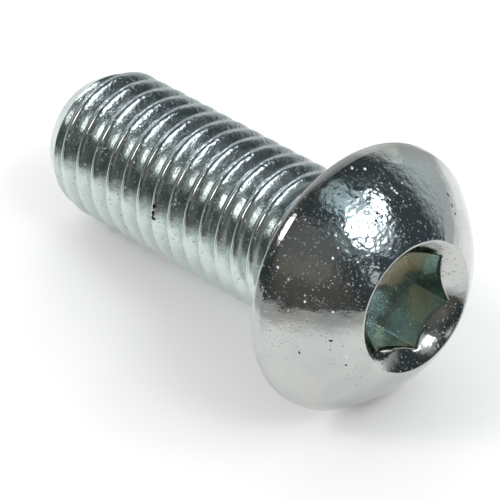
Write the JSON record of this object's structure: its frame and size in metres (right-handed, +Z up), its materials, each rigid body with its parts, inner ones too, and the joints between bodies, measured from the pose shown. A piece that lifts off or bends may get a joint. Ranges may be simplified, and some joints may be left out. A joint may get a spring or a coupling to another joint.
{
  "type": "button head screw",
  "caption": "Button head screw with a low domed head, a hexagon socket and a full metric thread down to a chamfered point.",
  "frame": {"origin": "centre of the bounding box's bottom, on the surface the screw lies on", "axes": "+Z up from that surface; +X along the screw towards its tip, whose axis dips 9.3 degrees below +X; +Y across"},
  "size_m": [0.0312, 0.0174, 0.0172],
  "materials": {
    "zinc_plate": "bright zinc plate, polished"
  },
  "bodies": {
    "root": {"screw": "zinc_plate"}
  },
  "joints": []
}
